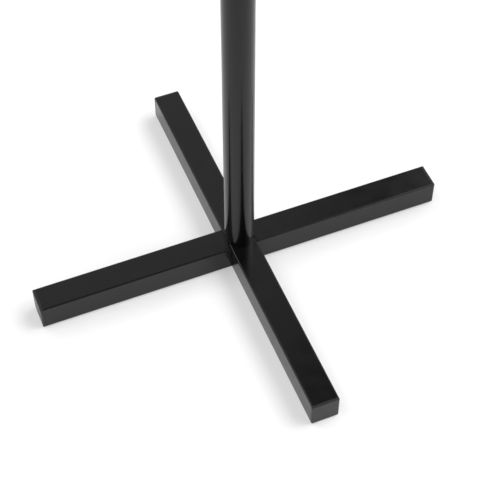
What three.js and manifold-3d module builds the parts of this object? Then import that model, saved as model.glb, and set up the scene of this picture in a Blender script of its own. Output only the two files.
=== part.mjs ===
// Standing coat rack: a cross of two half-lapped square tubes carries a round post in three screwed
// sections, with four long hooks near the top and four short ones lower down.
// Millimetres, +Z up. The origin is on the floor under the middle of the cross.
import * as THREE from 'three';
import { mergeVertices } from 'three/addons/utils/BufferGeometryUtils.js';
import Module from 'manifold-3d';

const wasm = await Module();
wasm.setup();

// ---- Driving dimensions -----------------------------------------------------------------------
const BASE_SPAN = 460; // tip to tip of each crossbar, end caps included
const BAR = 30; // side of the square tube
const BAR_WALL = 1.5;
const BAR_CORNER = 1.5; // outer corner radius of the square tube
const BAR_INNER_CORNER = 0.5;
const PAD_THICKNESS = 1.5; // self-adhesive foot pads
const POST_DIAMETER = 32;
const POST_WALL = 1.2;
const TOTAL_HEIGHT = 1750;
const POST_SECTIONS = 3;
const ROD_DIAMETER = 8; // hook rods, threaded at the root
const TIP_DIAMETER = 18;
const GAP = 0.3; // clearance between pieces that touch on a cut or round face
const OVERCUT = 1; // how far a cutting tool reaches past the face that it opens

// ---- Sizes worked out from the driving dimensions ---------------------------------------------
const BAR_BOTTOM = PAD_THICKNESS;
const BAR_TOP = BAR_BOTTOM + BAR;
const HALF_LAP = BAR_BOTTOM + BAR / 2; // height where the two notches meet
const BAR_INNER = BAR - 2 * BAR_WALL;
const POST_RADIUS = POST_DIAMETER / 2;
const BORE_RADIUS = POST_RADIUS - POST_WALL;
const PLUG_RADIUS = BORE_RADIUS - GAP; // anything pressed into the post
const ROD_RADIUS = ROD_DIAMETER / 2;

const CAP_FLANGE = 3; // visible plate of a bar's end cap
const CAP_PLUG = 16; // depth of its plug inside the bar
const CAP_WALL = 2;
const CAP_BEVEL = 1;
const BAR_TUBE_LENGTH = BASE_SPAN - 2 * CAP_FLANGE;

const PAD_RADIUS = 9;
const PAD_INSET = 22; // pad centre from the end of the cross

const DOME_RIM = 3; // straight edge of the top cap
const DOME_RISE = 5.5;
const DOME_STEM = 14; // depth of its stem inside the post
const DOME_WALL = 2;
const POST_TOP = TOTAL_HEIGHT - DOME_RIM - DOME_RISE;
const SECTION_LENGTH = (POST_TOP - BAR_TOP) / POST_SECTIONS;

const BOLT_RADIUS = 4; // M8
const BOLT_LENGTH = 45;
const BOLT_HEAD_RADIUS = 7;
const BOLT_HEAD_HEIGHT = 4.4;
const BOLT_CHAMFER = 1;
const BOLT_SOCKET = 5; // hexagon across flats
const BOLT_SOCKET_DEPTH = 2.86;
const CUP_RADIUS = 9; // recessed washer that keeps the bolt head above the floor
const CUP_WALL = 1;
const CUP_FLANGE_RADIUS = 13.5;
const CUP_DEPTH = 7.5;
const CUP_TOP = BAR_BOTTOM - CUP_WALL + CUP_DEPTH;
const LOCK_WASHER = 1.6;
const LOCK_WASHER_BOTTOM = CUP_TOP - CUP_WALL - LOCK_WASHER;
const SLEEVE_WALL = 3.5;
const FOOT_NUT_LENGTH = 24;

const STUD_RADIUS = 5; // M10 stud between two post sections
const INSERT_LENGTH = 24;
const STUD_LENGTH = 44;

const HUB_HEIGHT = 20;
const HUB_WEB = 5.7; // radius at the bottom of a hub's blind holes
const FERRULE_RADIUS = 8;
const FERRULE_TIP_RADIUS = 5.6;
const FERRULE_LENGTH = 6;
const FERRULE_TAPER = 3;
const TIP_HOLE_DEPTH = 10;

// A hook's rod runs level out of the post, dips by dipAngle, sweeps up round the pocket until it
// rises at riseAngle, and leans outwards by flareAngle before its tip. Angles are in degrees.
const UPPER_HOOKS = {
  name: 'upper',
  z: 1660,
  firstAngle: 0,
  dipRadius: 18,
  dipAngle: 50,
  pocketRadius: 30,
  riseAngle: 75,
  riseLength: 30,
  flareRadius: 50,
  flareAngle: 30,
};
const LOWER_HOOKS = {
  ...UPPER_HOOKS,
  name: 'lower',
  z: 1420,
  firstAngle: 45,
  dipRadius: 14,
  pocketRadius: 23,
  riseLength: 6,
  flareRadius: 40,
};
const SIDES = ['right', 'back', 'left', 'front']; // a quarter turn apart, counter-clockwise from above

// ---- Mesh resolution --------------------------------------------------------------------------
const ROUND = 32; // facets round the post and its top cap
const SMALL_ROUND = 16; // facets round everything smaller or hidden inside
const ROD_SIDES = 10;
const ROD_STEP = 7; // length of one step along a rod
const BALL_FACETS = 12;
const BALL_STEPS = 6;
const CORNER_STEPS = 2;

// ---- Materials --------------------------------------------------------------------------------
const finish = (color, roughness, metalness) =>
  new THREE.MeshStandardMaterial({ color, roughness, metalness });
const BLACK_PAINT = finish(0x262627, 0.25, 0.0);
const BLACK_PLASTIC = finish(0x2c2c2d, 0.45, 0.0);
const ZINC_STEEL = finish(0x9a9da0, 0.35, 0.9);
const PAD_RUBBER = finish(0x1b1b1b, 0.9, 0.0);

// ---- Solids: cutting and joining --------------------------------------------------------------
function toSolid(geometry) {
  const bare = geometry.clone();
  bare.deleteAttribute('normal');
  bare.deleteAttribute('uv');
  const merged = mergeVertices(bare, 1e-4);
  return new wasm.Manifold(new wasm.Mesh({
    numProp: 3,
    vertProperties: merged.attributes.position.array,
    triVerts: new Uint32Array(merged.index.array),
  }));
}

function toGeometry(solid) {
  const { vertProperties, triVerts } = solid.getMesh();
  return new THREE.BufferGeometry()
    .setAttribute('position', new THREE.BufferAttribute(vertProperties, 3))
    .setIndex(new THREE.BufferAttribute(triVerts, 1));
}

const cut = (geometry, ...tools) =>
  toGeometry(tools.reduce((rest, tool) => rest.subtract(toSolid(tool)), toSolid(geometry)));
const join = (geometry, ...others) =>
  toGeometry(others.reduce((rest, other) => rest.add(toSolid(other)), toSolid(geometry)));

// ---- Shared shapes ----------------------------------------------------------------------------
// A square outline with round corners, centred on the origin.
function roundedSquare(side, corner) {
  const half = side / 2;
  const outline = new THREE.Shape();
  outline.moveTo(half, -half + corner);
  for (let quarter = 0; quarter < 4; quarter++) {
    const turn = (quarter * Math.PI) / 2;
    const centre = new THREE.Vector2(half - corner, half - corner).rotateAround(new THREE.Vector2(), turn);
    outline.absarc(centre.x, centre.y, corner, turn, turn + Math.PI / 2, false);
  }
  outline.closePath();
  return outline;
}

// A solid of revolution about +Z. Its [radius, z] points run upwards on the outside, and either
// start and end on the axis or close on themselves.
function turned(points, facets) {
  const profile = points.map(([radius, z]) => new THREE.Vector2(radius, z));
  return new THREE.LatheGeometry(profile, facets).rotateX(Math.PI / 2);
}

// A straight ring or tube standing on z = bottom.
function ring(outer, inner, bottom, top, facets) {
  const points = [[inner, bottom], [outer, bottom], [outer, top], [inner, top], [inner, bottom]];
  return turned(points, facets);
}

// A straight round bar standing on z = bottom, used as a part and as a drill.
function rod(radius, bottom, top, facets) {
  return new THREE.CylinderGeometry(radius, radius, top - bottom, facets)
    .rotateX(Math.PI / 2)
    .translate(0, 0, (top + bottom) / 2);
}

const box = (x, y, z) => new THREE.BoxGeometry(x, y, z);

function piece(name, geometry, material) {
  const mesh = new THREE.Mesh(geometry, material);
  mesh.name = name;
  return mesh;
}

const radians = THREE.MathUtils.degToRad;

// ---- Cross base -------------------------------------------------------------------------------
// A crossbar's tube lies along X with its bottom at BAR_BOTTOM.
function crossbarTube() {
  const section = roundedSquare(BAR, BAR_CORNER);
  section.holes.push(roundedSquare(BAR_INNER, BAR_INNER_CORNER));
  return new THREE.ExtrudeGeometry(section, {
    depth: BAR_TUBE_LENGTH, bevelEnabled: false, curveSegments: CORNER_STEPS,
  })
    .translate(0, 0, -BAR_TUBE_LENGTH / 2)
    .rotateY(Math.PI / 2)
    .translate(0, 0, BAR_BOTTOM + BAR / 2);
}

// The half-lap notch: a slot across the bar between two heights.
function notch(bottom, top) {
  return box(BAR + 2 * GAP, BAR + 2 * OVERCUT, top - bottom).translate(0, 0, (top + bottom) / 2);
}

// The lower bar is open on top in the middle, with a hole in its floor for the recessed washer.
function lowerCrossbar() {
  return cut(
    crossbarTube(),
    notch(HALF_LAP - GAP / 2, BAR_TOP + OVERCUT),
    rod(CUP_RADIUS + GAP, 0, HALF_LAP, SMALL_ROUND),
  );
}

// The upper bar is open underneath in the middle, with a hole in its roof for the bolt.
function upperCrossbar() {
  return cut(
    crossbarTube(),
    notch(0, HALF_LAP + GAP / 2),
    rod(BOLT_RADIUS + GAP, HALF_LAP, BAR_TOP + OVERCUT, SMALL_ROUND),
  );
}

// An end cap looks along +X: a bevelled plate outside the bar and a hollow square plug inside it.
function endCap() {
  const rim = CAP_FLANGE - CAP_BEVEL;
  const plate = new THREE.ExtrudeGeometry(roundedSquare(BAR - 2 * CAP_BEVEL, BAR_CORNER - CAP_BEVEL), {
    depth: rim,
    bevelSize: CAP_BEVEL,
    bevelThickness: CAP_BEVEL,
    bevelSegments: 2,
    curveSegments: CORNER_STEPS,
  });
  const plugSide = BAR_INNER - 2 * GAP;
  const coreSide = plugSide - 2 * CAP_WALL;
  const behind = box(BAR, BAR, CAP_PLUG).translate(0, 0, -CAP_PLUG / 2);
  const plugLength = CAP_PLUG + CAP_FLANGE / 2; // it reaches into the plate, so that the two join
  const plug = box(plugSide, plugSide, plugLength).translate(0, 0, plugLength / 2 - CAP_PLUG);
  const hollow = box(coreSide, coreSide, CAP_PLUG).translate(0, 0, -CAP_PLUG / 2 - CAP_WALL / 2);
  return cut(join(cut(plate, behind), plug), hollow).rotateY(Math.PI / 2);
}

// A recessed washer, open downwards: its flange bears on the bar from below.
function cupWasher() {
  return turned([
    [CUP_RADIUS - CUP_WALL, BAR_BOTTOM - CUP_WALL],
    [CUP_FLANGE_RADIUS, BAR_BOTTOM - CUP_WALL],
    [CUP_FLANGE_RADIUS, BAR_BOTTOM],
    [CUP_RADIUS, BAR_BOTTOM],
    [CUP_RADIUS, CUP_TOP],
    [BOLT_RADIUS + GAP, CUP_TOP],
    [BOLT_RADIUS + GAP, CUP_TOP - CUP_WALL],
    [CUP_RADIUS - CUP_WALL, CUP_TOP - CUP_WALL],
    [CUP_RADIUS - CUP_WALL, BAR_BOTTOM - CUP_WALL],
  ], SMALL_ROUND);
}

// A button-head bolt with a hexagon socket, its head hanging down in the cup. The head's outline
// is given as shares of its radius and height.
function baseBolt() {
  const seat = LOCK_WASHER_BOTTOM;
  const face = seat - BOLT_HEAD_HEIGHT;
  const button = [[0, 1], [0.5, 1], [0.86, 0.6], [1, 0.15], [1, 0]].map(([across, down]) => [
    across * BOLT_HEAD_RADIUS,
    seat - down * BOLT_HEAD_HEIGHT,
  ]);
  const bolt = turned([
    ...button,
    [BOLT_RADIUS, seat],
    [BOLT_RADIUS, seat + BOLT_LENGTH - BOLT_CHAMFER],
    [BOLT_RADIUS - BOLT_CHAMFER, seat + BOLT_LENGTH],
    [0, seat + BOLT_LENGTH],
  ], SMALL_ROUND);
  const socketRadius = BOLT_SOCKET / Math.sqrt(3);
  return cut(bolt, rod(socketRadius, face - OVERCUT, face + BOLT_SOCKET_DEPTH, 6));
}

function crossBase() {
  const base = new THREE.Group();
  const lower = piece('crossbar_lower', lowerCrossbar(), BLACK_PAINT);
  const upper = piece('crossbar_upper', upperCrossbar(), BLACK_PAINT);
  upper.rotation.z = Math.PI / 2;
  base.add(lower, upper);

  SIDES.forEach((side, quarter) => {
    const arm = new THREE.Group();
    arm.rotation.z = (quarter * Math.PI) / 2;
    const cap = piece(`end_cap_${side}`, endCap(), BLACK_PLASTIC);
    cap.position.set(BAR_TUBE_LENGTH / 2, 0, BAR_BOTTOM + BAR / 2);
    const pad = piece(`foot_pad_${side}`, rod(PAD_RADIUS, 0, PAD_THICKNESS, SMALL_ROUND), PAD_RUBBER);
    pad.position.x = BASE_SPAN / 2 - PAD_INSET;
    arm.add(cap, pad);
    base.add(arm);
  });

  const bore = BOLT_RADIUS + GAP;
  const washer = ring(BOLT_HEAD_RADIUS, bore, LOCK_WASHER_BOTTOM, CUP_TOP - CUP_WALL, SMALL_ROUND);
  const sleeve = ring(bore + SLEEVE_WALL, bore, CUP_TOP, BAR_TOP - BAR_WALL, SMALL_ROUND);
  const nut = ring(PLUG_RADIUS, bore, BAR_TOP, BAR_TOP + FOOT_NUT_LENGTH, SMALL_ROUND);
  base.add(
    piece('recessed_washer', cupWasher(), ZINC_STEEL),
    piece('lock_washer', washer, ZINC_STEEL),
    piece('base_bolt', baseBolt(), ZINC_STEEL),
    piece('spacer_sleeve', sleeve, ZINC_STEEL),
    piece('post_foot_nut', nut, ZINC_STEEL),
  );
  return base;
}

// ---- Post -------------------------------------------------------------------------------------
// Radial holes through one wall of the post, where the hooks of one tier screw in.
function hookHoles(tier) {
  return SIDES.map((side, quarter) =>
    rod(ROD_RADIUS + 2 * GAP, POST_RADIUS / 2, POST_DIAMETER, ROD_SIDES)
      .rotateY(Math.PI / 2)
      .rotateZ(radians(tier.firstAngle + 90 * quarter))
      .translate(0, 0, tier.z));
}

// The stud that joins two sections, and the threaded insert in the end of each.
function sectionJoint(number, z) {
  const joint = new THREE.Group();
  joint.position.z = z;
  const bore = STUD_RADIUS + GAP;
  const lower = ring(PLUG_RADIUS, bore, -INSERT_LENGTH, 0, SMALL_ROUND);
  const upper = ring(PLUG_RADIUS, bore, 0, INSERT_LENGTH, SMALL_ROUND);
  const stud = rod(STUD_RADIUS, -STUD_LENGTH / 2, STUD_LENGTH / 2, SMALL_ROUND);
  joint.add(
    piece(`joint_${number}_lower_insert`, lower, ZINC_STEEL),
    piece(`joint_${number}_upper_insert`, upper, ZINC_STEEL),
    piece(`joint_${number}_stud`, stud, ZINC_STEEL),
  );
  return joint;
}

// A domed plastic cap with a hollow stem pressed into the top of the post.
function topCap() {
  const stem = PLUG_RADIUS - DOME_WALL;
  const dome = [70, 45, 20].map((angle) => [
    POST_RADIUS * Math.sin(radians(angle)),
    DOME_RIM + DOME_RISE * Math.cos(radians(angle)),
  ]);
  return turned([
    [0, -DOME_WALL],
    [stem, -DOME_WALL],
    [stem, -DOME_STEM],
    [PLUG_RADIUS, -DOME_STEM],
    [PLUG_RADIUS, 0],
    [POST_RADIUS, 0],
    [POST_RADIUS, DOME_RIM],
    ...dome,
    [0, DOME_RIM + DOME_RISE],
  ], ROUND);
}

function post() {
  const whole = new THREE.Group();
  const sections = ['post_lower', 'post_middle', 'post_upper'];
  sections.forEach((name, i) => {
    const bottom = BAR_TOP + i * SECTION_LENGTH;
    const tube = ring(POST_RADIUS, BORE_RADIUS, bottom, bottom + SECTION_LENGTH, ROUND);
    const drilled = name === 'post_upper'
      ? cut(tube, ...hookHoles(UPPER_HOOKS), ...hookHoles(LOWER_HOOKS))
      : tube;
    whole.add(piece(name, drilled, BLACK_PAINT));
    if (i > 0) whole.add(sectionJoint(i, bottom));
  });
  const cap = piece('top_cap', topCap(), BLACK_PLASTIC);
  cap.position.z = POST_TOP;
  whole.add(cap);
  return whole;
}

// ---- Hooks ------------------------------------------------------------------------------------
// The centre line of a hook's rod in the XZ plane: straight runs and arcs, laid end to end.
// A run is {length, turn}: turn is in radians, positive upwards, and 0 on a straight run.
class HookLine extends THREE.Curve {
  constructor(tier) {
    super();
    const arc = (radius, degrees) => ({
      length: radius * radians(Math.abs(degrees)),
      turn: radians(degrees),
    });
    this.runs = [
      { length: POST_RADIUS + FERRULE_LENGTH - HUB_WEB - GAP, turn: 0 },
      arc(tier.dipRadius, -tier.dipAngle),
      arc(tier.pocketRadius, tier.dipAngle + tier.riseAngle),
      { length: tier.riseLength, turn: 0 },
      arc(tier.flareRadius, -tier.flareAngle),
      { length: TIP_HOLE_DEPTH - GAP, turn: 0 },
    ];
    this.total = this.runs.reduce((sum, run) => sum + run.length, 0);
  }

  // Position and heading at a length along the line.
  walk(distance) {
    const at = new THREE.Vector3(HUB_WEB + GAP, 0, 0);
    let heading = 0;
    let left = distance;
    for (const run of this.runs) {
      const length = Math.min(left, run.length);
      const turn = (run.turn * length) / run.length;
      // The chord of an arc points halfway through its turn.
      const chord = turn === 0 ? length : (2 * length * Math.sin(turn / 2)) / turn;
      at.x += chord * Math.cos(heading + turn / 2);
      at.z += chord * Math.sin(heading + turn / 2);
      heading += turn;
      left -= length;
      if (left <= 0) break;
    }
    return { at, heading };
  }

  getPoint(t, target = new THREE.Vector3()) {
    return target.copy(this.walk(t * this.total).at);
  }
}

function hookRod(line) {
  const section = new THREE.Shape();
  section.absarc(0, 0, ROD_RADIUS, 0, 2 * Math.PI, false);
  return new THREE.ExtrudeGeometry(section, {
    extrudePath: line,
    steps: Math.ceil(line.total / ROD_STEP),
    curveSegments: ROD_SIDES / 2,
    bevelEnabled: false,
  });
}

// A tapered ferrule round the rod, hollowed behind to sit on the post.
function hookFerrule() {
  const inner = ROD_RADIUS + GAP;
  const outside = POST_RADIUS + FERRULE_LENGTH;
  const blank = turned([
    [inner, BORE_RADIUS],
    [FERRULE_RADIUS, BORE_RADIUS],
    [FERRULE_RADIUS, outside - FERRULE_TAPER],
    [FERRULE_TIP_RADIUS, outside],
    [inner, outside],
    [inner, BORE_RADIUS],
  ], SMALL_ROUND).rotateY(Math.PI / 2);
  const seat = rod(POST_RADIUS + GAP, -2 * FERRULE_RADIUS, 2 * FERRULE_RADIUS, ROUND);
  return cut(blank, seat);
}

// A ball with a blind hole, its mouth towards -Z and its hole's bottom near the centre.
function tipBall() {
  const hole = ROD_RADIUS + GAP;
  const radius = TIP_DIAMETER / 2;
  const mouth = Math.asin(hole / radius);
  const ball = Array.from({ length: BALL_STEPS }, (_, i) => {
    const angle = mouth + ((Math.PI - mouth) * i) / BALL_STEPS;
    return [radius * Math.sin(angle), -radius * Math.cos(angle)];
  });
  const holeTop = -radius * Math.cos(mouth) + TIP_HOLE_DEPTH;
  return turned([[0, holeTop], [hole, holeTop], ...ball, [0, radius]], BALL_FACETS);
}

function hookTier(tier) {
  const all = new THREE.Group();
  all.position.z = tier.z;
  const line = new HookLine(tier);
  const ballCentre = line.walk(line.total - TIP_HOLE_DEPTH + GAP);
  const mouthDepth = Math.sqrt((TIP_DIAMETER / 2) ** 2 - (ROD_RADIUS + GAP) ** 2);
  const outward = new THREE.Vector3(Math.cos(ballCentre.heading), 0, Math.sin(ballCentre.heading));

  SIDES.forEach((side, quarter) => {
    const hook = new THREE.Group();
    hook.rotation.z = radians(tier.firstAngle + 90 * quarter);
    const name = `${tier.name}_hook_${side}`;
    const ball = piece(`${name}_tip`, tipBall(), BLACK_PLASTIC);
    ball.rotation.y = Math.PI / 2 - ballCentre.heading;
    ball.position.copy(ballCentre.at).addScaledVector(outward, mouthDepth);
    hook.add(
      piece(`${name}_rod`, hookRod(line), BLACK_PAINT),
      piece(`${name}_ferrule`, hookFerrule(), BLACK_PLASTIC),
      ball,
    );
    all.add(hook);
  });

  // The hub inside the post, with one blind threaded hole for each rod.
  const holes = SIDES.map((side, quarter) =>
    rod(ROD_RADIUS + GAP, HUB_WEB, POST_DIAMETER, ROD_SIDES)
      .rotateY(Math.PI / 2)
      .rotateZ(radians(tier.firstAngle + 90 * quarter)));
  const hub = cut(rod(PLUG_RADIUS, -HUB_HEIGHT / 2, HUB_HEIGHT / 2, SMALL_ROUND), ...holes);
  all.add(piece(`${tier.name}_hook_hub`, hub, ZINC_STEEL));
  return all;
}

const coatRack = new THREE.Group();
coatRack.add(crossBase(), post(), hookTier(UPPER_HOOKS), hookTier(LOWER_HOOKS));

export default coatRack;
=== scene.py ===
import math

import bmesh
import bpy
from mathutils import Matrix, Vector


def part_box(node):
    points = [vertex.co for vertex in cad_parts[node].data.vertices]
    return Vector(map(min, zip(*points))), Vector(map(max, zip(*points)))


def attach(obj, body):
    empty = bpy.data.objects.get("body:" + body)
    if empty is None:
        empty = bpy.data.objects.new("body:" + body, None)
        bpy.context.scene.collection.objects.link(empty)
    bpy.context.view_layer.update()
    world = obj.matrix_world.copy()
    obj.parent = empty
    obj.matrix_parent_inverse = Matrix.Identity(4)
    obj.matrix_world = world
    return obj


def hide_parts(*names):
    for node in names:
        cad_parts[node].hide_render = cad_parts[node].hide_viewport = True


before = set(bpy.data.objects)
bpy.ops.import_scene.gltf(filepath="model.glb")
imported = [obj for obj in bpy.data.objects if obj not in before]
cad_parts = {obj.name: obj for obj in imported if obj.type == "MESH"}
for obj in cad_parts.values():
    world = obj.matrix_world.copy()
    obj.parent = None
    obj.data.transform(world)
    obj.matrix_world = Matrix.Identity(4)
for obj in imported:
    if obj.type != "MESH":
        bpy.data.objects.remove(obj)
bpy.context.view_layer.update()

# Everything is in metres, in the CAD model's frame: +Z up, the origin on the floor under the post.
MM = 0.001
SIDES = ("right", "back", "left", "front")  # quarter turns from +X, counter-clockwise from above


# ---- Sizes taken from the frame -----------------------------------------------------------------

def low(node):
    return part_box(node)[0]


def high(node):
    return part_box(node)[1]


BAR_BOTTOM = low("crossbar_lower").z
BAR_TOP = high("crossbar_lower").z
BAR_SIDE = BAR_TOP - BAR_BOTTOM
BAR_AXIS = (BAR_BOTTOM + BAR_TOP) / 2
BAR_END = high("crossbar_lower").x
CAP_END = high("end_cap_right").x
CAP_PLUG_END = low("end_cap_right").x
POST_RADIUS = high("post_lower").x
INSERT_RADIUS = high("post_foot_nut").x
CUP_FLANGE_RADIUS = high("recessed_washer").x
CUP_RADIUS = CUP_FLANGE_RADIUS * 2 / 3
TIERS = {"upper": 0.0, "lower": 45.0}  # degrees from +X to a tier's first hook

# Sizes that the frame's boxes don't show. A thread is its pitch and its depth.
BAR_CORNER = 1.5 * MM
BAR_WALL = 1.5 * MM
POST_WALL = 1.2 * MM
GAP = 0.3 * MM
BOLT_RADIUS = 4 * MM
BOLT_THREAD = (1.25 * MM, 0.68 * MM)
STUD_RADIUS = 5 * MM
STUD_THREAD = (1.5 * MM, 0.8 * MM)
ROD_RADIUS = 4 * MM
TIP_RADIUS = 9 * MM
TIP_HOLE_DEPTH = 10 * MM
FERRULE_RADIUS = 8 * MM


# ---- Materials ----------------------------------------------------------------------------------

def grey(value):
    """A grey with a trace of blue."""
    return (value, value, value * 1.03, 1.0)


class Surface:
    """A Principled material whose pattern lies in the object's own space, in metres.

    The plain color and roughness hold where no pattern drives them."""

    def __init__(self, name, color, roughness, metallic=0.0, ior=1.5):
        self.material = bpy.data.materials.new(name)
        self.material.use_nodes = True
        self.tree = self.material.node_tree
        self.shader = self.tree.nodes["Principled BSDF"]
        self.shader.inputs["Base Color"].default_value = color
        self.shader.inputs["Roughness"].default_value = roughness
        self.shader.inputs["Metallic"].default_value = metallic
        self.shader.inputs["IOR"].default_value = ior
        self.space = self.tree.nodes.new("ShaderNodeTexCoord").outputs["Object"]
        self.normal = None

    def add(self, kind, **inputs):
        made = self.tree.nodes.new(kind)
        for name, value in inputs.items():
            socket = made.inputs[name.replace("_", " ")]
            if isinstance(value, bpy.types.NodeSocket):
                self.tree.links.new(value, socket)
            else:
                socket.default_value = value
        return made

    def noise(self, size, detail=2.0, stretch=(1, 1, 1)):
        """Noise whose blobs are about size across, stretched along the axes."""
        place = self.add("ShaderNodeMapping", Vector=self.space, Scale=stretch)
        made = self.add("ShaderNodeTexNoise", Vector=place.outputs[0], Scale=1 / size, Detail=detail)
        return made.outputs["Fac"]

    def cells(self, size):
        """Distance to the nearest of scattered points about size apart."""
        return self.add("ShaderNodeTexVoronoi", Vector=self.space, Scale=1 / size).outputs["Distance"]

    def spread(self, factor, start, end, first, last):
        """factor from start to end becomes a number from first to last."""
        made = self.add("ShaderNodeMapRange", Value=factor)
        ends = (start, end, first, last)
        for name, value in zip(("From Min", "From Max", "To Min", "To Max"), ends):
            made.inputs[name].default_value = value
        return made.outputs["Result"]

    def tint(self, factor, dark, light):
        """The base colour runs from dark to light with factor."""
        mix = self.tree.nodes.new("ShaderNodeMix")
        mix.data_type = "RGBA"
        self.tree.links.new(factor, mix.inputs["Factor"])
        mix.inputs["A"].default_value = dark
        mix.inputs["B"].default_value = light
        self.tree.links.new(mix.outputs["Result"], self.shader.inputs["Base Color"])

    def gloss(self, factor):
        self.tree.links.new(factor, self.shader.inputs["Roughness"])

    def bump(self, height, depth, strength=1.0):
        """Adds relief of that depth, on top of what is there already."""
        made = self.add("ShaderNodeBump", Height=height, Distance=depth, Strength=strength)
        if self.normal:
            self.tree.links.new(self.normal, made.inputs["Normal"])
        self.normal = made.outputs["Normal"]
        self.tree.links.new(self.normal, self.shader.inputs["Normal"])


def black_paint():
    """Smooth powder coat: a slight orange peel under a fairly glossy skin."""
    paint = Surface("black_paint", grey(0.0015), 0.2, ior=1.39)
    paint.gloss(paint.spread(paint.noise(15 * MM, 5), 0.3, 0.7, 0.16, 0.24))
    paint.tint(paint.noise(3 * MM, 3), grey(0.001), grey(0.002))
    paint.bump(paint.noise(14 * MM, 2), 0.03 * MM, 0.5)
    paint.bump(paint.noise(2.2 * MM, 2), 0.02 * MM, 0.5)
    paint.bump(paint.noise(0.35 * MM, 2), 0.003 * MM, 0.5)
    return paint.material


def black_plastic():
    """Moulded plastic with a fine spark-eroded grain."""
    plastic = Surface("black_plastic", grey(0.005), 0.38, ior=1.42)
    plastic.gloss(plastic.spread(plastic.noise(6 * MM, 4), 0.3, 0.7, 0.34, 0.42))
    plastic.tint(plastic.noise(1.5 * MM, 4), grey(0.0035), grey(0.007))
    plastic.bump(plastic.cells(0.35 * MM), 0.012 * MM, 0.6)
    return plastic.material


def pad_rubber():
    """Dull foam rubber with small closed cells."""
    rubber = Surface("pad_rubber", grey(0.015), 0.85)
    rubber.tint(rubber.noise(2 * MM, 4), grey(0.01), grey(0.024))
    rubber.bump(rubber.cells(0.5 * MM), 0.08 * MM, 0.7)
    return rubber.material


def zinc_steel():
    """Turned steel with bright zinc: fine tool rings and a cloudy, slightly warm passivation."""
    zinc = Surface("zinc_steel", (0.6, 0.61, 0.62, 1), 0.3, metallic=1.0)
    zinc.tint(zinc.noise(5 * MM, 3), (0.55, 0.56, 0.59, 1), (0.66, 0.65, 0.62, 1))
    zinc.gloss(zinc.spread(zinc.noise(2 * MM, 4), 0.3, 0.7, 0.26, 0.4))
    zinc.bump(zinc.noise(0.4 * MM, 2, stretch=(0.05, 0.05, 1)), 0.01 * MM, 0.5)
    return zinc.material


MATERIALS = {
    "black_paint": black_paint(),
    "black_plastic": black_plastic(),
    "pad_rubber": pad_rubber(),
    "zinc_steel": zinc_steel(),
}


# ---- Mesh building ------------------------------------------------------------------------------

SAME_PLACE = 1e-7  # points closer than this are one point


def skin(loops, ring=False):
    """A closed mesh through loops of points: capped at both ends, or joined into a ring."""
    shape = bmesh.new()
    rows = [[shape.verts.new(point) for point in loop] for loop in loops]
    count = len(rows[0])
    pairs = list(zip(rows, rows[1:]))
    if ring:
        pairs.append((rows[-1], rows[0]))
    for here, there in pairs:
        for i in range(count):
            j = (i + 1) % count
            shape.faces.new((here[i], here[j], there[j], there[i]))
    if not ring:
        shape.faces.new(rows[0])
        shape.faces.new(rows[-1])
    bmesh.ops.remove_doubles(shape, verts=shape.verts, dist=SAME_PLACE)
    bmesh.ops.dissolve_degenerate(shape, edges=shape.edges, dist=SAME_PLACE)
    bmesh.ops.recalc_face_normals(shape, faces=shape.faces)
    mesh = bpy.data.meshes.new("shape")
    shape.to_mesh(mesh)
    shape.free()
    return mesh


def filleted(corners, ring=False, steps=4):
    """Points of an outline whose corners are (a, b, radius): each corner becomes an arc."""
    points = []
    count = len(corners)
    for i, (a, b, radius) in enumerate(corners):
        here = Vector((a, b))
        if radius == 0 or (not ring and i in (0, count - 1)):
            points.append(here)
            continue
        before = Vector(corners[i - 1][:2]) - here
        after = Vector(corners[(i + 1) % count][:2]) - here
        half = before.angle(after) / 2
        reach = radius / math.tan(half)
        centre = here + (before.normalized() + after.normalized()).normalized() * radius / math.sin(half)
        first = here + before.normalized() * reach - centre
        turn = first.angle_signed(here + after.normalized() * reach - centre)
        for step in range(steps + 1):
            rotation = Matrix.Rotation(-turn * step / steps, 2)
            points.append(centre + rotation @ first)
    return points


def turned(corners, sides=64, ring=False, thread=None, steps=4):
    """A solid of revolution about Z from (radius, z, fillet) corners.

    thread is (low z, high z, pitch, depth): between those heights a helical groove is cut."""
    outline = filleted(corners, ring, steps)
    if thread:
        outline = with_thread_rows(outline, thread)
    loops = []
    for radius, z in outline:
        loop = []
        for i in range(sides):
            angle = 2 * math.pi * i / sides
            r = radius - (groove(z, angle, thread) if thread and radius > 0 else 0)
            loop.append((r * math.cos(angle), r * math.sin(angle), z))
        loops.append(loop)
    return skin(loops, ring)


THREAD_ROWS = 8  # rows of points for each turn of a thread


def with_thread_rows(outline, thread):
    """Adds rows along the upright stretch that carries the thread."""
    start, end, pitch, _ = thread
    shortest = (end - start) * 0.9
    points = [outline[0]]
    for here, there in zip(outline, outline[1:]):
        length = abs(there.y - here.y)
        if abs(here.x - there.x) < SAME_PLACE and length > shortest:
            count = round(length / pitch * THREAD_ROWS)
            points += [here.lerp(there, k / count) for k in range(1, count)]
        points.append(there)
    return points


def groove(z, angle, thread):
    """How deep the thread is at that height and angle: a 60 degree V that runs out at both ends."""
    start, end, pitch, depth = thread
    fade = min(1.0, (z - start) / pitch, (end - z) / pitch)
    if fade <= 0:
        return 0.0
    phase = (z / pitch - angle / (2 * math.pi)) % 1.0
    return depth * fade * (1 - abs(2 * phase - 1))


def square_loop(half, x):
    """A square across X with round corners, parallel to the bars' outside."""
    steps = 6
    smallest_corner = 0.3 * MM
    corner = min(half, max(smallest_corner, BAR_CORNER - (BAR_SIDE / 2 - half)))
    points = []
    for quarter in range(4):
        centre = Vector((half - corner, half - corner))
        for step in range(steps + 1):
            angle = math.pi / 2 * step / steps
            arc = centre + Vector((math.cos(angle), math.sin(angle))) * corner
            y, z = Matrix.Rotation(math.pi / 2 * quarter, 2) @ arc
            points.append((x, y, z))
    return points


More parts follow.
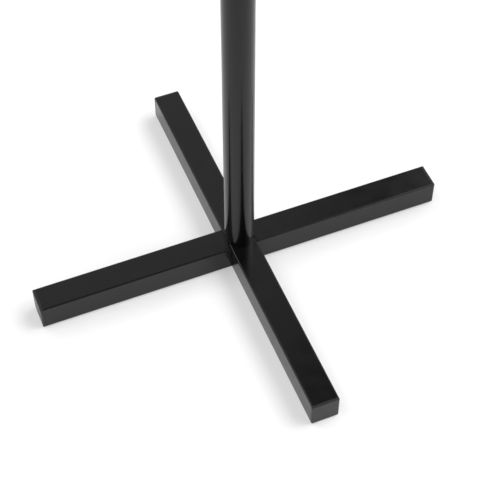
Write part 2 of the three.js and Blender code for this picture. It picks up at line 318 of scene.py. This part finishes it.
def squared(corners, ring=False, steps=4):
    """A solid with square sections along X, from (half side, x, fillet) corners."""
    return skin([square_loop(half, x) for half, x in filleted(corners, ring, steps)], ring)


def box(lowest, highest):
    lowest, highest = Vector(lowest), Vector(highest)
    across = [(lowest.x, lowest.y), (highest.x, lowest.y), (highest.x, highest.y), (lowest.x, highest.y)]
    return skin([[(x, y, z) for x, y in across] for z in (lowest.z, highest.z)])


def cylinder(radius, start, end, sides=64):
    return turned([(0, start, 0), (radius, start, 0), (radius, end, 0), (0, end, 0)], sides)


def moved(mesh, *steps):
    """mesh after those matrices, first one first."""
    for step in steps:
        mesh.transform(step)
    return mesh


def shift(x=0.0, y=0.0, z=0.0):
    return Matrix.Translation((x, y, z))


def spin(degrees, axis="Z"):
    return Matrix.Rotation(math.radians(degrees), 4, axis)


def cut(mesh, *tools):
    """mesh with the tools' meshes taken away."""
    blank = bpy.data.objects.new("blank", mesh)
    bpy.context.collection.objects.link(blank)
    cutters = []
    for tool in tools:
        cutter = bpy.data.objects.new("cutter", tool)
        bpy.context.collection.objects.link(cutter)
        cutters.append(cutter)
        step = blank.modifiers.new("cut", "BOOLEAN")
        step.operation = "DIFFERENCE"
        step.solver = "MANIFOLD"
        step.object = cutter
    shaped = blank.evaluated_get(bpy.context.evaluated_depsgraph_get())
    result = bpy.data.meshes.new_from_object(shaped)
    for temporary in (blank, *cutters):
        bpy.data.objects.remove(temporary)
    return result


SHARP_ANGLE = math.radians(35)


def piece(node, mesh, slot):
    """Shows mesh in place of the CAD node, smooth except at its sharp edges."""
    mesh.name = node + "_mesh"
    mesh.materials.clear()
    mesh.materials.append(MATERIALS[slot])
    for face in mesh.polygons:
        face.use_smooth = True
    mesh.set_sharp_from_angle(angle=SHARP_ANGLE)
    made = bpy.data.objects.new(node + "_detailed", mesh)
    bpy.context.collection.objects.link(made)
    shading = made.modifiers.new("even_shading", "WEIGHTED_NORMAL")
    shading.keep_sharp = True
    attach(made, "root")
    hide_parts(node)


# ---- Cross base ---------------------------------------------------------------------------------

def crossbar_tube():
    """The square tube along X, the edges of its sawn ends just broken."""
    outer = BAR_SIDE / 2
    inner = outer - BAR_WALL
    edge = 0.3 * MM
    tube = squared([
        (outer, -BAR_END, edge),
        (outer, BAR_END, edge),
        (inner, BAR_END, edge),
        (inner, -BAR_END, edge),
    ], ring=True, steps=2)
    return moved(tube, shift(z=BAR_AXIS))


def crossbars():
    """Two tubes notched to cross at one height, the lower along X, the upper along Y."""
    reach = BAR_SIDE / 2 + GAP
    side = BAR_SIDE
    lower_notch = box((-reach, -side, BAR_AXIS - GAP / 2), (reach, side, BAR_TOP + side))
    upper_notch = box((-reach, -side, BAR_BOTTOM - side), (reach, side, BAR_AXIS + GAP / 2))
    cup_hole = cylinder(CUP_RADIUS + GAP, BAR_BOTTOM - side, BAR_AXIS)
    bolt_hole = cylinder(BOLT_RADIUS + GAP, BAR_AXIS, BAR_TOP + side)
    piece("crossbar_lower", cut(crossbar_tube(), lower_notch, cup_hole), "black_paint")
    upper = cut(crossbar_tube(), upper_notch, bolt_hole)
    piece("crossbar_upper", moved(upper, spin(90)), "black_paint")


def end_cap():
    """Looks along +X: a plate with soft edges in front, a ribbed hollow plug behind."""
    plate = BAR_SIDE / 2
    plug = plate - BAR_WALL - 2 * GAP
    rib = plate - BAR_WALL - GAP / 3
    core = plug - 2 * MM
    lead_in = 1 * MM
    depth = BAR_END - CAP_PLUG_END
    first_rib, rib_spacing = 0.2, 0.26  # shares of the depth
    rib_width = 1.2 * MM
    cavity_floor = BAR_END + 1 * MM
    corners = [
        (0, cavity_floor, 0),
        (core, cavity_floor, 0.5 * MM),
        (core, CAP_PLUG_END, 0.3 * MM),
        (plug - lead_in, CAP_PLUG_END, 0.4 * MM),
    ]
    for i in range(3):
        start = CAP_PLUG_END + depth * (first_rib + rib_spacing * i)
        corners += [
            (plug, start, 0),
            (rib, start + rib_width * 0.5, 0.2 * MM),
            (rib, start + rib_width, 0.2 * MM),
            (plug, start + rib_width * 1.1, 0),
        ]
    corners += [
        (plug, BAR_END, 0),
        (plate, BAR_END, 0.4 * MM),
        (plate, CAP_END, 1.1 * MM),
        (0, CAP_END, 0),
    ]
    return moved(squared(corners), shift(z=BAR_AXIS))


def foot_pad():
    radius = (high("foot_pad_right").x - low("foot_pad_right").x) / 2
    thickness = high("foot_pad_right").z
    edge = 0.35 * MM
    return turned([(0, 0, 0), (radius, 0, edge), (radius, thickness, edge), (0, thickness, 0)])


def base_ends():
    pad_place = (high("foot_pad_right").x + low("foot_pad_right").x) / 2
    for quarter, side in enumerate(SIDES):
        turn = spin(90 * quarter)
        piece(f"end_cap_{side}", moved(end_cap(), turn), "black_plastic")
        piece(f"foot_pad_{side}", moved(foot_pad(), shift(x=pad_place), turn), "pad_rubber")


# ---- Fasteners ----------------------------------------------------------------------------------

def recessed_washer():
    """A pressed cup, so its bends are round inside and out."""
    bottom, top = low("recessed_washer").z, high("recessed_washer").z
    wall = 1 * MM
    bore = BOLT_RADIUS + GAP
    return turned([
        (CUP_RADIUS - wall, bottom, 0.8 * MM),
        (CUP_FLANGE_RADIUS, bottom, 0.2 * MM),
        (CUP_FLANGE_RADIUS, bottom + wall, 0.2 * MM),
        (CUP_RADIUS, bottom + wall, 0.1 * MM),
        (CUP_RADIUS, top, 1.2 * MM),
        (bore, top, 0.1 * MM),
        (bore, top - wall, 0.1 * MM),
        (CUP_RADIUS - wall, top - wall, 0.3 * MM),
    ], ring=True)


def lock_washer():
    """A split spring washer: a flat wire coiled not quite once round, one end above the other."""
    bottom, top = low("lock_washer").z, high("lock_washer").z
    outer = high("lock_washer").x
    inner = BOLT_RADIUS + GAP
    wire = (top - bottom) * 0.75
    opening = 12  # degrees
    steps = 72
    loops = []
    for i in range(steps + 1):
        share = i / steps
        angle = math.radians(opening / 2 + (360 - opening) * share)
        rise = (top - bottom - wire) * share
        corners = ((inner, rise), (outer, rise), (outer, rise + wire), (inner, rise + wire))
        loops.append([(r * math.cos(angle), r * math.sin(angle), bottom + z) for r, z in corners])
    return skin(loops)


def base_bolt():
    """Button head with a hexagon socket, and a rolled thread on the shank."""
    bottom, top = low("base_bolt").z, high("base_bolt").z
    seat = low("lock_washer").z
    head = high("base_bolt").x
    height = seat - bottom
    plain_shank = 6 * MM
    chamfer = 0.8 * MM
    thread = (seat + plain_shank, top - chamfer, *BOLT_THREAD)
    bolt = turned([
        (0, bottom, 0),
        (0.5 * head, bottom, 0.5 * MM),
        (0.88 * head, bottom + 0.45 * height, 2 * MM),
        (head, seat - 0.6 * MM, 0.4 * MM),
        (head, seat, 0.3 * MM),
        (BOLT_RADIUS, seat, 0),
        (BOLT_RADIUS, top - chamfer, 0),
        (BOLT_RADIUS - chamfer, top, 0),
        (0, top, 0),
    ], 48, thread=thread)
    across_flats = 5 * MM
    socket_radius = across_flats / math.sqrt(3)
    socket = cylinder(socket_radius, bottom - 1 * MM, bottom + 0.65 * height, 6)
    return cut(bolt, socket)


def bushing(node, bore, grooves=0):
    """A straight ring or threaded insert, with crimp grooves round its outside."""
    chamfer = 0.5 * MM
    bottom, top = low(node).z, high(node).z
    outer = high(node).x
    half, depth = 1 * MM, 0.6 * MM  # of a groove
    corners = [(bore, bottom, chamfer), (outer, bottom, chamfer)]
    for i in range(grooves):
        middle = bottom + (top - bottom) * (i + 1) / (grooves + 1)
        corners += [
            (outer, middle - half, 0.1 * MM),
            (outer - depth, middle - half / 2, 0.1 * MM),
            (outer - depth, middle + half / 2, 0.1 * MM),
            (outer, middle + half, 0.1 * MM),
        ]
    corners += [(outer, top, chamfer), (bore, top, chamfer)]
    return turned(corners, ring=True, steps=3)


def stud(node):
    """A headless screw that joins two lengths of the post."""
    bottom, top = low(node).z, high(node).z
    chamfer = 1 * MM
    thread = (bottom + chamfer, top - chamfer, *STUD_THREAD)
    return turned([
        (0, bottom, 0),
        (STUD_RADIUS - chamfer, bottom, 0),
        (STUD_RADIUS, bottom + chamfer, 0),
        (STUD_RADIUS, top - chamfer, 0),
        (STUD_RADIUS - chamfer, top, 0),
        (0, top, 0),
    ], 40, thread=thread)


def fasteners():
    piece("recessed_washer", recessed_washer(), "zinc_steel")
    piece("lock_washer", lock_washer(), "zinc_steel")
    piece("base_bolt", base_bolt(), "zinc_steel")
    piece("spacer_sleeve", bushing("spacer_sleeve", BOLT_RADIUS + GAP), "zinc_steel")
    piece("post_foot_nut", bushing("post_foot_nut", BOLT_RADIUS + GAP, 2), "zinc_steel")
    for joint in (1, 2):
        for end in ("lower", "upper"):
            node = f"joint_{joint}_{end}_insert"
            piece(node, bushing(node, STUD_RADIUS + GAP, 2), "zinc_steel")
        node = f"joint_{joint}_stud"
        piece(node, stud(node), "zinc_steel")


# ---- Post ---------------------------------------------------------------------------------------

def post_tube(node):
    bottom, top = low(node).z, high(node).z
    inner = POST_RADIUS - POST_WALL
    edge = 0.35 * MM
    corners = [(inner, bottom, edge), (POST_RADIUS, bottom, edge)]
    if node == "post_upper":  # rows close to the hook holes keep the rest of the wall undisturbed
        for tier in sorted(TIERS, key=hook_height):
            corners += [(POST_RADIUS, hook_height(tier) + sign * FERRULE_RADIUS, 0) for sign in (-1, 1)]
    corners += [(POST_RADIUS, top, edge), (inner, top, edge)]
    return turned(corners, 128, ring=True, steps=3)


def hook_height(tier):
    hub = f"{tier}_hook_hub"
    return (low(hub).z + high(hub).z) / 2


def hook_turn(tier, quarter):
    return spin(TIERS[tier] + 90 * quarter)


def hook_holes(radius, start, tier):
    """Drills for the four hooks of a tier, from a distance off the post's axis outwards."""
    drills = []
    for quarter in range(4):
        drill = cylinder(radius, start, 2 * POST_RADIUS, 48)
        drills.append(moved(drill, spin(90, "Y"), hook_turn(tier, quarter), shift(z=hook_height(tier))))
    return drills


def top_cap():
    """A shallow dome with a soft rim, and a hollow stem below."""
    seat = high("post_upper").z
    bottom, top = low("top_cap").z, high("top_cap").z
    rim = seat + 3 * MM
    wall = 2 * MM
    stem = INSERT_RADIUS
    steps = 9
    # The dome is an arc through the rim and the top, and a fillet softens the rim.
    rise = top - rim
    radius = (POST_RADIUS ** 2 + rise ** 2) / (2 * rise)
    spread = math.asin(POST_RADIUS / radius)
    dome = []
    for i in range(1, steps):
        angle = spread * (1 - i / steps)
        dome.append((radius * math.sin(angle), top - radius + radius * math.cos(angle), 0))
    return turned([
        (0, seat - wall, 0),
        (stem - wall, seat - wall, 0.5 * MM),
        (stem - wall, bottom, 0.4 * MM),
        (stem, bottom, 0.8 * MM),
        (stem, seat, 0.1 * MM),
        (POST_RADIUS, seat, 0.3 * MM),
        (POST_RADIUS, rim, 1.6 * MM),
        *dome,
        (0, top, 0),
    ], 128)


def post():
    for node in ("post_lower", "post_middle"):
        piece(node, post_tube(node), "black_paint")
    holes = [drill for tier in TIERS for drill in hook_holes(ROD_RADIUS + 2 * GAP, POST_RADIUS / 2, tier)]
    piece("post_upper", cut(post_tube("post_upper"), *holes), "black_paint")
    piece("top_cap", top_cap(), "black_plastic")


# ---- Hooks --------------------------------------------------------------------------------------

# A rod's bends, in metres and degrees: out of the post, down, up round the pocket, out to the tip.
ROD_START = 6 * MM
ROOT = 16 * MM
BENDS = {
    "upper": [(18 * MM, -50), (30 * MM, 125), (30 * MM, 0), (50 * MM, -30)],
    "lower": [(14 * MM, -50), (23 * MM, 125), (6 * MM, 0), (40 * MM, -30)],
}
ROD_STEP = 1.5 * MM


def rod_route(tier):
    """(x, z, heading) along the middle of a rod. A bend of 0 degrees is a straight of that length."""
    runs = [(ROOT, 0.0)]
    for size, degrees in BENDS[tier]:
        turn = math.radians(degrees)
        runs.append((size * abs(turn), turn) if turn else (size, 0.0))
    runs.append((TIP_HOLE_DEPTH - GAP, 0.0))
    x, z, heading = ROD_START, 0.0, 0.0
    route = [(x, z, heading)]
    for length, turn in runs:
        steps = max(2, round(length / ROD_STEP))
        bend = turn / steps
        chord = length / steps * (math.sin(bend / 2) / (bend / 2) if bend else 1.0)
        for _ in range(steps):
            x += chord * math.cos(heading + bend / 2)
            z += chord * math.sin(heading + bend / 2)
            heading += bend
            route.append((x, z, heading))
    return route


def hook_rod(tier):
    """Round bar bent along the tier's route, both ends chamfered."""
    sides = 32
    chamfer = 0.5 * MM
    loops = []
    route = rod_route(tier)
    for i, (x, z, heading) in enumerate(route):
        ends = i in (0, len(route) - 1)
        radius = ROD_RADIUS - (chamfer if ends else 0)
        upward = Vector((-math.sin(heading), 0, math.cos(heading)))
        loop = []
        for k in range(sides):
            angle = 2 * math.pi * k / sides
            offset = Vector((0, math.cos(angle), 0)) + upward * math.sin(angle)
            loop.append(Vector((x, 0, z)) + offset * radius)
        loops.append(loop)
    return skin(loops)


def ferrule():
    """Tapered collar, hollowed behind to sit on the post."""
    bore = ROD_RADIUS + GAP
    nose = 5.6 * MM
    taper = 2.6 * MM
    inside = POST_RADIUS - POST_WALL
    outside = ROD_START + ROOT
    blank = turned([
        (bore, inside, 0),
        (FERRULE_RADIUS, inside, 0),
        (FERRULE_RADIUS, outside - taper, 1 * MM),
        (nose, outside, 0.8 * MM),
        (bore, outside, 0.15 * MM),
    ], ring=True)
    seat = cylinder(POST_RADIUS + GAP / 2, -2 * FERRULE_RADIUS, 2 * FERRULE_RADIUS, 128)
    return cut(moved(blank, spin(90, "Y")), seat)


def tip_ball():
    """A ball along Z, its centre at the origin, with the rod's hole and a small lip below."""
    bore = ROD_RADIUS + GAP / 3
    lip = ROD_RADIUS + 1 * MM
    mouth = math.asin(lip / TIP_RADIUS)
    floor = TIP_HOLE_DEPTH - math.sqrt(TIP_RADIUS ** 2 - bore ** 2)
    steps = 24
    outside = []
    for i in range(steps):
        angle = mouth + (math.pi - mouth) * i / steps
        outside.append((TIP_RADIUS * math.sin(angle), -TIP_RADIUS * math.cos(angle), 0))
    lip_z = outside[0][1]
    return turned([
        (0, floor, 0),
        (bore, floor, 0),
        (bore, lip_z, 0.2 * MM),
        (lip, lip_z, 0.3 * MM),
        *outside[1:],
        (0, TIP_RADIUS, 0),
    ])


def hook_hub(tier):
    """The plug inside the post that holds a tier's rods, each in a blind hole."""
    node = f"{tier}_hook_hub"
    bottom, top = low(node).z, high(node).z
    edge = 0.6 * MM
    web = ROD_START - GAP
    blank = turned([
        (0, bottom, 0),
        (INSERT_RADIUS, bottom, edge),
        (INSERT_RADIUS, top, edge),
        (0, top, 0),
    ], 96)
    piece(node, cut(blank, *hook_holes(ROD_RADIUS + GAP, web, tier)), "zinc_steel")


def hooks():
    for tier in TIERS:
        hook_hub(tier)
        x, z, heading = rod_route(tier)[-1]
        to_ball = math.sqrt(TIP_RADIUS ** 2 - (ROD_RADIUS + GAP) ** 2) - TIP_HOLE_DEPTH + GAP
        ball_place = shift(x + to_ball * math.cos(heading), 0, z + to_ball * math.sin(heading))
        ball_turn = spin(90 - math.degrees(heading), "Y")
        for quarter, side in enumerate(SIDES):
            place = (hook_turn(tier, quarter), shift(z=hook_height(tier)))
            name = f"{tier}_hook_{side}"
            piece(f"{name}_rod", moved(hook_rod(tier), *place), "black_paint")
            piece(f"{name}_ferrule", moved(ferrule(), *place), "black_plastic")
            piece(f"{name}_tip", moved(tip_ball(), ball_turn, ball_place, *place), "black_plastic")


# ---- Studio -------------------------------------------------------------------------------------

FLOOR_REACH = 30.0  # from the origin to each side, in metres
FLOOR_THICKNESS = 0.05
FLOOR_COLOR = (0.54, 0.54, 0.54, 1)
FLOOR_GLOW = 0.34


def floor():
    """A plain light table, large enough to fill any view. Its glow keeps the shadows pale."""
    mesh = box((-FLOOR_REACH, -FLOOR_REACH, -FLOOR_THICKNESS), (FLOOR_REACH, FLOOR_REACH, 0))
    table = bpy.data.materials.new("light_table")
    table.use_nodes = True
    shader = table.node_tree.nodes["Principled BSDF"]
    shader.inputs["Base Color"].default_value = FLOOR_COLOR
    shader.inputs["Roughness"].default_value = 1.0
    shader.inputs["Specular IOR Level"].default_value = 0.0
    shader.inputs["Emission Color"].default_value = (1, 1, 1, 1)
    shader.inputs["Emission Strength"].default_value = FLOOR_GLOW
    mesh.materials.append(table)
    ground = bpy.data.objects.new("floor", mesh)
    bpy.context.collection.objects.link(ground)


# Brightness of the room by height: (sine of the elevation, brightness). Pale walls all round
# under a dark ceiling, which keeps the front edges of the bars dark.
ROOM = ((0.0, 0.95), (0.2, 0.75), (0.35, 0.1), (1.0, 0.05))

# Broad soft lamps: (name, direction from +X, elevation, breadth, strength), angles in degrees.
LAMPS = (
    ("front_left", 230, 50, 60, 0.85),
    ("left", 170, 60, 24, 0.5),
    ("back_left", 130, 50, 30, 0.6),
    ("back", 90, 46, 38, 0.25),
    ("back_right", 30, 39, 41, 0.62),
    ("right", 354, 53, 36, 1.55),
    ("front_right", 330, 46, 48, 1.05),
)


def room():
    world = bpy.data.worlds.new("room")
    bpy.context.scene.world = world
    world.use_nodes = True
    tree = world.node_tree
    direction = tree.nodes.new("ShaderNodeTexCoord").outputs["Generated"]
    split = tree.nodes.new("ShaderNodeSeparateXYZ")
    tree.links.new(direction, split.inputs[0])
    ramp = tree.nodes.new("ShaderNodeValToRGB")
    tree.links.new(split.outputs["Z"], ramp.inputs["Fac"])
    stops = ramp.color_ramp.elements
    while len(stops) < len(ROOM):
        stops.new(0.5)  # moved to its place below
    for stop, (height, brightness) in zip(stops, ROOM):
        stop.position = height
        stop.color = (brightness, brightness, brightness, 1)
    tree.links.new(ramp.outputs["Color"], tree.nodes["Background"].inputs["Color"])


def lamps():
    for name, azimuth, elevation, breadth, strength in LAMPS:
        light = bpy.data.lights.new(name, "SUN")
        light.energy = strength
        light.angle = math.radians(breadth)
        lamp = bpy.data.objects.new(name, light)
        bpy.context.collection.objects.link(lamp)
        lamp.matrix_world = spin(azimuth) @ spin(90 - elevation, "Y")


# The camera, in metres and degrees. It stands left of the front by its azimuth.
CAMERA_AZIMUTH = 21.85
CAMERA_ELEVATION = 51.85
CAMERA_ROLL = -0.29
CAMERA_DISTANCE = 1.5128
CAMERA_TARGET = Vector((-0.0017, -0.0062, BAR_TOP))
CAMERA_LENS = 104.7  # millimetres, for a sensor of the width below
CAMERA_SENSOR = 36.0


def camera():
    """Looks down on the base from in front, a little from the left."""
    azimuth = math.radians(CAMERA_AZIMUTH)
    elevation = math.radians(CAMERA_ELEVATION)
    roll = math.radians(CAMERA_ROLL)
    back = Vector((
        -math.cos(elevation) * math.sin(azimuth),
        -math.cos(elevation) * math.cos(azimuth),
        math.sin(elevation),
    ))
    right = (-back).cross(Vector((0, 0, 1))).normalized()
    upward = back.cross(right)
    data = bpy.data.cameras.new("camera")
    data.sensor_width = CAMERA_SENSOR
    data.lens = CAMERA_LENS
    data.clip_end = 100.0
    view = bpy.data.objects.new("camera", data)
    bpy.context.collection.objects.link(view)
    turned_right = right * math.cos(roll) + upward * math.sin(roll)
    turned_up = upward * math.cos(roll) - right * math.sin(roll)
    axes = Matrix((turned_right, turned_up, back)).transposed().to_4x4()
    view.matrix_world = Matrix.Translation(CAMERA_TARGET + back * CAMERA_DISTANCE) @ axes
    bpy.context.scene.camera = view


camera()
crossbars()
base_ends()
fasteners()
post()
hooks()
floor()
room()
lamps()
bpy.context.scene.view_settings.view_transform = "Standard"
